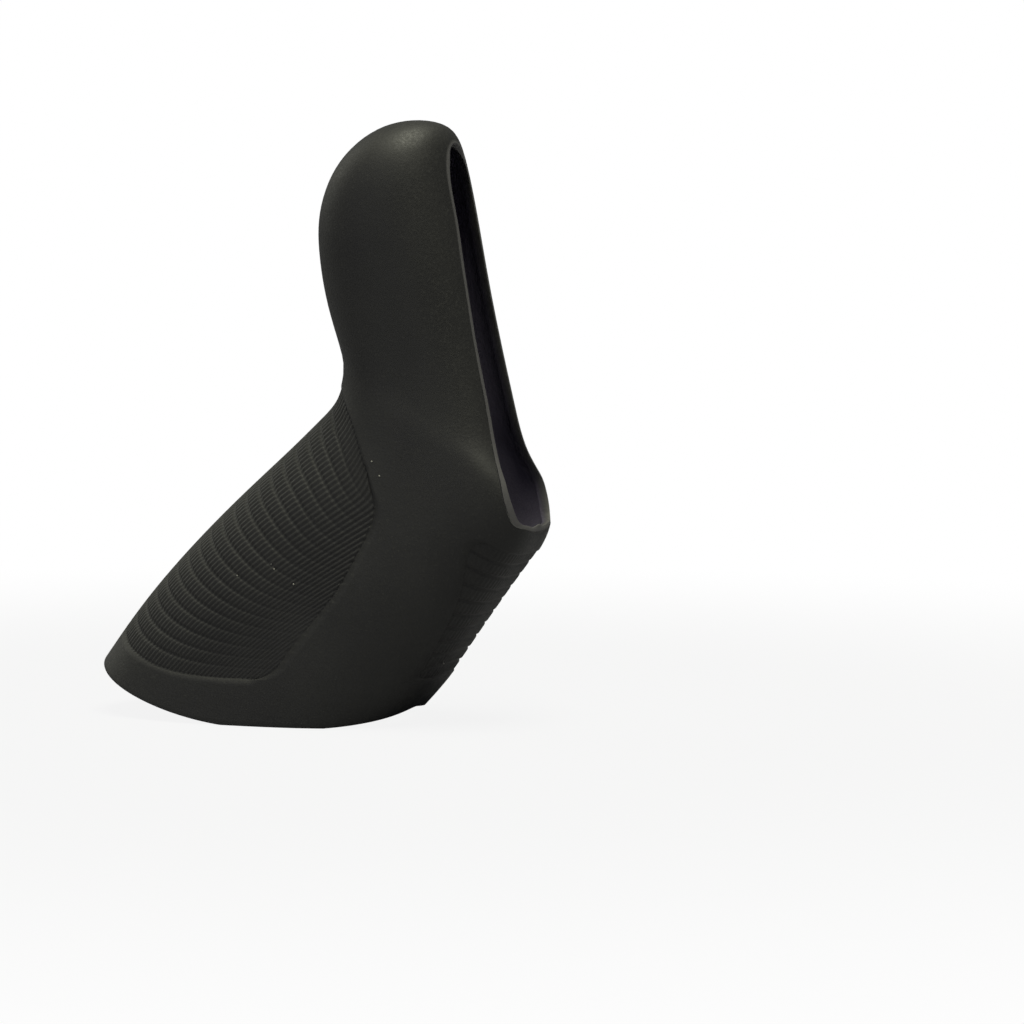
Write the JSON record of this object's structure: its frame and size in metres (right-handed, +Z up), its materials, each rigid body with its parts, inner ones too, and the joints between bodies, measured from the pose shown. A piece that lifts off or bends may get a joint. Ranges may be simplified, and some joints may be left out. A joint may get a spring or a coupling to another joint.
{
  "type": "brake lever hood",
  "caption": "Soft moulded sleeve that covers a drop-bar brake lever body, with a rounded knob, a long lever slot, an open mouth and grooved grip panels.",
  "frame": {"origin": "centre of the bounding box in plan, at the height of the lowest edge of the mouth, which is what the hood stands on", "axes": "+Z up from the mouth to the knob, +X to the side of the lever slot, -X to the rider's hand, +Y across the hood's plane of symmetry"},
  "size_m": [0.0878, 0.0372, 0.1133],
  "materials": {
    "black_rubber": "matt moulded rubber with a fine leathery grain, ribbed in the grip panels"
  },
  "bodies": {
    "root": {"hood": "black_rubber"}
  },
  "joints": []
}
